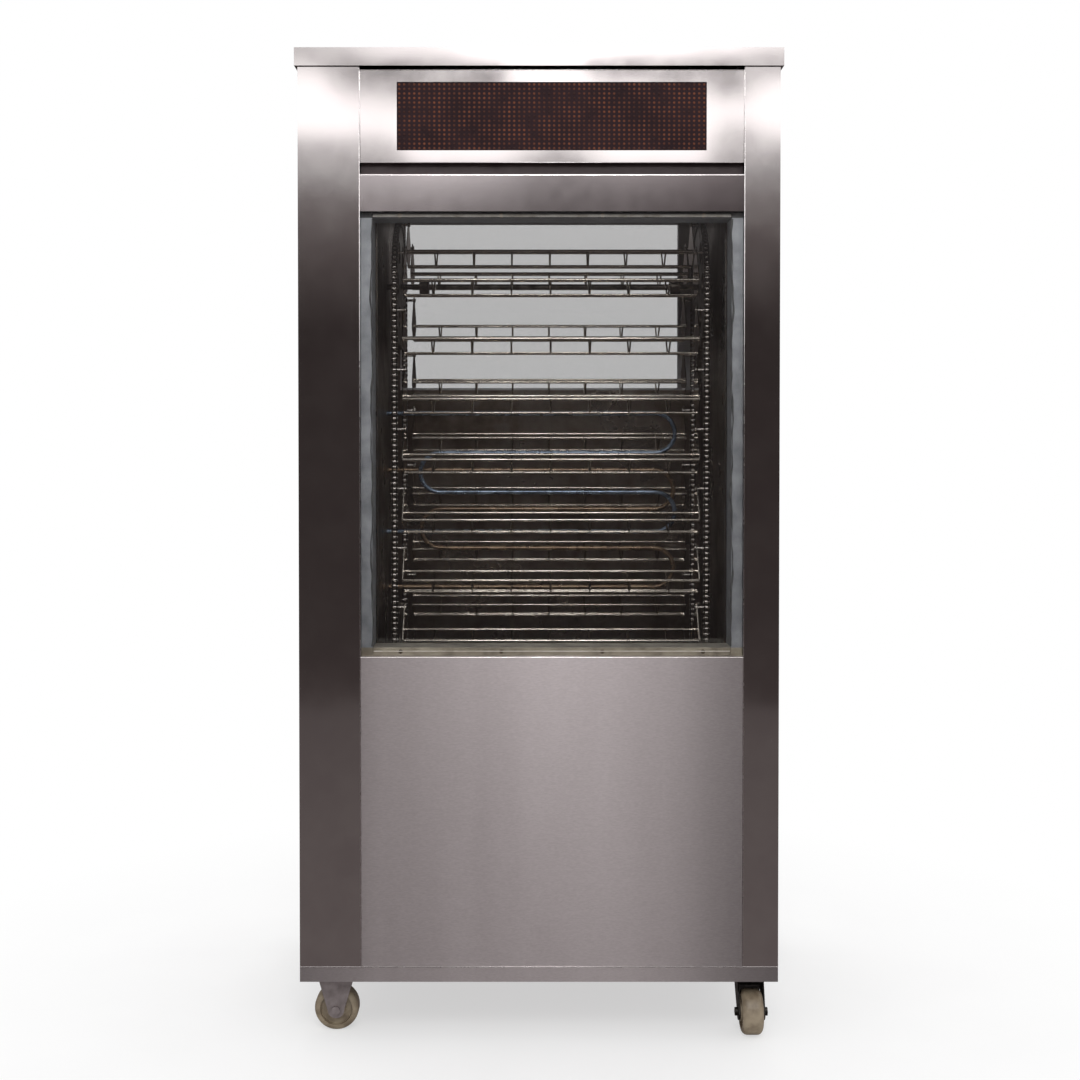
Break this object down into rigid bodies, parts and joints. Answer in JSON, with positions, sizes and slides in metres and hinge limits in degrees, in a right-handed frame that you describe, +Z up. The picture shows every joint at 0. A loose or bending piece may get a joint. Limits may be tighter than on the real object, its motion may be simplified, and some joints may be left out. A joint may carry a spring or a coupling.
{
  "type": "potato baking oven",
  "caption": "Free-standing electric baking oven on casters: stainless cabinet, tall glazed front, dot-matrix fascia, chain carousel of hanging wire baskets.",
  "frame": {"origin": "on the floor, under the middle of the cabinet", "axes": "+X to the right seen from the front, +Y from the front to the rear, +Z up"},
  "size_m": [0.81, 0.56, 1.655],
  "materials": {
    "mirror_steel": "polished stainless sheet",
    "satin_steel": "satin brushed stainless sheet",
    "chamber_steel": "heat-darkened bright stainless sheet",
    "display_face": "dark dot-matrix face, unlit",
    "clear_glass": "clear toughened glass",
    "aged_channel": "aged beige channel",
    "heater_sheath": "heat-tinted tube",
    "dark_iron": "cast housings",
    "dark_plastic": "moulded black plastic",
    "zinc": "zinc plated steel",
    "door_aluminium": "satin aluminium profile",
    "chain_steel": "oiled blackened steel",
    "sprocket_steel": "oiled machined steel",
    "bright_wire": "bright welded wire",
    "nylon": "cream cast nylon"
  },
  "bodies": {
    "cabinet": {"base_frame": "satin_steel", "left_side_panel": "mirror_steel", "right_side_panel": "mirror_steel", "top_cap": "satin_steel", "display_fascia": "satin_steel", "display_module": "display_face", "header_rail": "satin_steel", "lower_front_panel": "satin_steel", "rear_panel": "satin_steel", "chamber_walls": "chamber_steel", "chamber_floor": "chamber_steel", "chamber_rear_wall": "chamber_steel", "front_glass": "clear_glass", "glazing_frame": "aged_channel", "heating_elements": "heater_sheath", "shaft_bearings": "dark_iron", "gear_motor": "dark_iron", "control_panel": "satin_steel", "cable_gland": "dark_plastic", "fasteners": "zinc", "caster_mounts": "zinc", "door_hinges": "satin_steel"},
    "rear_door": {"rear_door": "door_aluminium", "rear_door_glass": "clear_glass", "rear_door_handle": "door_aluminium"},
    "drip_tray": {"drip_tray": "satin_steel"},
    "temperature_knob": {"temperature_knob": "dark_plastic"},
    "heat_switch": {"heat_switch": "dark_plastic"},
    "drive_shaft": {"bottom_sprocket_shaft": "sprocket_steel", "bottom_chain_wrap": "chain_steel"},
    "idler_shaft": {"top_sprocket_shaft": "sprocket_steel", "top_chain_wrap": "chain_steel"},
    "front_run": {"front_chain_run": "chain_steel"},
    "rear_run": {"rear_chain_run": "chain_steel"},
    "swivel_front": {"swivel_fork_front": "zinc"},
    "swivel_rear": {"swivel_fork_rear": "zinc"},
    "front_left_wheel": {"front_left_wheel": "nylon"},
    "rear_left_wheel": {"rear_left_wheel": "nylon"},
    "front_right_wheel": {"front_right_wheel": "nylon"},
    "rear_right_wheel": {"rear_right_wheel": "nylon"},
    "basket_front_1": {"basket_front_1": "bright_wire"},
    "basket_front_2": {"basket_front_2": "bright_wire"},
    "basket_front_3": {"basket_front_3": "bright_wire"},
    "basket_front_4": {"basket_front_4": "bright_wire"},
    "basket_front_5": {"basket_front_5": "bright_wire"},
    "basket_front_6": {"basket_front_6": "bright_wire"},
    "basket_front_7": {"basket_front_7": "bright_wire"},
    "basket_rear_1": {"basket_rear_1": "bright_wire"},
    "basket_rear_2": {"basket_rear_2": "bright_wire"},
    "basket_rear_3": {"basket_rear_3": "bright_wire"},
    "basket_rear_4": {"basket_rear_4": "bright_wire"},
    "basket_rear_5": {"basket_rear_5": "bright_wire"},
    "basket_rear_6": {"basket_rear_6": "bright_wire"},
    "basket_rear_7": {"basket_rear_7": "bright_wire"},
    "basket_top_1": {"basket_top_1": "bright_wire"},
    "basket_top_2": {"basket_top_2": "bright_wire"},
    "basket_top_3": {"basket_top_3": "bright_wire"},
    "basket_bottom_1": {"basket_bottom_1": "bright_wire"},
    "basket_bottom_2": {"basket_bottom_2": "bright_wire"},
    "basket_bottom_3": {"basket_bottom_3": "bright_wire"}
  },
  "joints": [
    {"name": "carousel_drive", "type": "hinge", "parent": "cabinet", "child": "drive_shaft", "pos_m": [0.0215, -0.011, 0.59218], "axis": [1, 0, 0], "range_deg": [-26.7, 7.2]},
    {"name": "idler_turn", "type": "hinge", "parent": "cabinet", "child": "idler_shaft", "pos_m": [0.0215, -0.011, 1.2875], "axis": [1, 0, 0], "range_deg": [-26.7, 7.2]},
    {"name": "front_run_travel", "type": "slide", "parent": "cabinet", "child": "front_run", "axis": [0, 0, 1], "range_m": [-0.0142, 0.0524]},
    {"name": "rear_run_travel", "type": "slide", "parent": "cabinet", "child": "rear_run", "axis": [0, 0, 1], "range_m": [-0.0524, 0.0142]},
    {"name": "basket_front_1_swing", "type": "hinge", "parent": "front_run", "child": "basket_front_1", "pos_m": [0.0215, -0.12318, 1.23511], "axis": [1, 0, 0], "range_deg": [-20, 20]},
    {"name": "basket_front_2_swing", "type": "hinge", "parent": "front_run", "child": "basket_front_2", "pos_m": [0.0215, -0.12318, 1.13034], "axis": [1, 0, 0], "range_deg": [-20, 20]},
    {"name": "basket_front_3_swing", "type": "hinge", "parent": "front_run", "child": "basket_front_3", "pos_m": [0.0215, -0.12318, 1.02556], "axis": [1, 0, 0], "range_deg": [-20, 20]},
    {"name": "basket_front_4_swing", "type": "hinge", "parent": "front_run", "child": "basket_front_4", "pos_m": [0.0215, -0.12318, 0.92079], "axis": [1, 0, 0], "range_deg": [-20, 20]},
    {"name": "basket_front_5_swing", "type": "hinge", "parent": "front_run", "child": "basket_front_5", "pos_m": [0.0215, -0.12318, 0.81601], "axis": [1, 0, 0], "range_deg": [-20, 20]},
    {"name": "basket_front_6_swing", "type": "hinge", "parent": "front_run", "child": "basket_front_6", "pos_m": [0.0215, -0.12318, 0.71124], "axis": [1, 0, 0], "range_deg": [-20, 20]},
    {"name": "basket_front_7_swing", "type": "hinge", "parent": "front_run", "child": "basket_front_7", "pos_m": [0.0215, -0.12318, 0.60646], "axis": [1, 0, 0], "range_deg": [-20, 20]},
    {"name": "basket_rear_1_swing", "type": "hinge", "parent": "rear_run", "child": "basket_rear_1", "pos_m": [0.0215, 0.10118, 1.27321], "axis": [1, 0, 0], "range_deg": [-20, 20]},
    {"name": "basket_rear_2_swing", "type": "hinge", "parent": "rear_run", "child": "basket_rear_2", "pos_m": [0.0215, 0.10118, 1.16844], "axis": [1, 0, 0], "range_deg": [-20, 20]},
    {"name": "basket_rear_3_swing", "type": "hinge", "parent": "rear_run", "child": "basket_rear_3", "pos_m": [0.0215, 0.10118, 1.06366], "axis": [1, 0, 0], "range_deg": [-20, 20]},
    {"name": "basket_rear_4_swing", "type": "hinge", "parent": "rear_run", "child": "basket_rear_4", "pos_m": [0.0215, 0.10118, 0.95889], "axis": [1, 0, 0], "range_deg": [-20, 20]},
    {"name": "basket_rear_5_swing", "type": "hinge", "parent": "rear_run", "child": "basket_rear_5", "pos_m": [0.0215, 0.10118, 0.85411], "axis": [1, 0, 0], "range_deg": [-20, 20]},
    {"name": "basket_rear_6_swing", "type": "hinge", "parent": "rear_run", "child": "basket_rear_6", "pos_m": [0.0215, 0.10118, 0.74934], "axis": [1, 0, 0], "range_deg": [-20, 20]},
    {"name": "basket_rear_7_swing", "type": "hinge", "parent": "rear_run", "child": "basket_rear_7", "pos_m": [0.0215, 0.10118, 0.64456], "axis": [1, 0, 0], "range_deg": [-20, 20]},
    {"name": "basket_top_1_level", "type": "hinge", "parent": "idler_shaft", "child": "basket_top_1", "pos_m": [0.0215, -0.11117, 1.338], "axis": [1, 0, 0], "range_deg": [-7.2, 26.7]},
    {"name": "basket_top_2_level", "type": "hinge", "parent": "idler_shaft", "child": "basket_top_2", "pos_m": [0.0215, -0.02996, 1.39807], "axis": [1, 0, 0], "range_deg": [-7.2, 26.7]},
    {"name": "basket_top_3_level", "type": "hinge", "parent": "idler_shaft", "child": "basket_top_3", "pos_m": [0.0215, 0.06662, 1.36849], "axis": [1, 0, 0], "range_deg": [-7.2, 26.7]},
    {"name": "basket_bottom_1_level", "type": "hinge", "parent": "drive_shaft", "child": "basket_bottom_1", "pos_m": [0.0215, -0.08862, 0.51119], "axis": [1, 0, 0], "range_deg": [-7.2, 26.7]},
    {"name": "basket_bottom_2_level", "type": "hinge", "parent": "drive_shaft", "child": "basket_bottom_2", "pos_m": [0.0215, 0.00796, 0.48161], "axis": [1, 0, 0], "range_deg": [-7.2, 26.7]},
    {"name": "basket_bottom_3_level", "type": "hinge", "parent": "drive_shaft", "child": "basket_bottom_3", "pos_m": [0.0215, 0.08917, 0.54167], "axis": [1, 0, 0], "range_deg": [-7.2, 26.7]},
    {"name": "rear_door_hinge", "type": "hinge", "parent": "cabinet", "child": "rear_door", "pos_m": [0.3435, 0.241, 1.274], "axis": [0, 0, -1], "range_deg": [0, 110]},
    {"name": "drip_tray_slide", "type": "slide", "parent": "cabinet", "child": "drip_tray", "axis": [0, 1, 0], "range_m": [0, 0.33]},
    {"name": "temperature_turn", "type": "hinge", "parent": "cabinet", "child": "temperature_knob", "pos_m": [-0.0485, 0.235, 0.89], "axis": [0, -1, 0], "range_deg": [0, 270]},
    {"name": "heat_switch_rock", "type": "hinge", "parent": "cabinet", "child": "heat_switch", "pos_m": [0.0465, 0.2215, 0.89], "axis": [1, 0, 0], "range_deg": [-8, 8]},
    {"name": "front_swivel", "type": "hinge", "parent": "cabinet", "child": "swivel_front", "pos_m": [0.36, -0.213, 0.1], "axis": [0, 0, 1], "continuous": true},
    {"name": "front_right_roll", "type": "hinge", "parent": "swivel_front", "child": "front_right_wheel", "pos_m": [0.36, -0.241, 0.0375], "axis": [1, 0, 0], "continuous": true},
    {"name": "front_left_roll", "type": "hinge", "parent": "cabinet", "child": "front_left_wheel", "pos_m": [-0.345, -0.213, 0.0375], "axis": [0, 1, 0], "continuous": true},
    {"name": "rear_swivel", "type": "hinge", "parent": "cabinet", "child": "swivel_rear", "pos_m": [0.36, 0.213, 0.1], "axis": [0, 0, 1], "continuous": true},
    {"name": "rear_right_roll", "type": "hinge", "parent": "swivel_rear", "child": "rear_right_wheel", "pos_m": [0.36, 0.185, 0.0375], "axis": [1, 0, 0], "continuous": true},
    {"name": "rear_left_roll", "type": "hinge", "parent": "cabinet", "child": "rear_left_wheel", "pos_m": [-0.345, 0.213, 0.0375], "axis": [0, 1, 0], "continuous": true}
  ],
  "couplings": [
    {"joint": "idler_turn", "follows": "carousel_drive", "ratio": 1},
    {"joint": "front_run_travel", "follows": "carousel_drive", "m_per_rad": -0.11218},
    {"joint": "rear_run_travel", "follows": "carousel_drive", "m_per_rad": 0.11218},
    {"joint": "basket_top_1_level", "follows": "carousel_drive", "ratio": -1},
    {"joint": "basket_top_2_level", "follows": "carousel_drive", "ratio": -1},
    {"joint": "basket_top_3_level", "follows": "carousel_drive", "ratio": -1},
    {"joint": "basket_bottom_1_level", "follows": "carousel_drive", "ratio": -1},
    {"joint": "basket_bottom_2_level", "follows": "carousel_drive", "ratio": -1},
    {"joint": "basket_bottom_3_level", "follows": "carousel_drive", "ratio": -1}
  ]
}
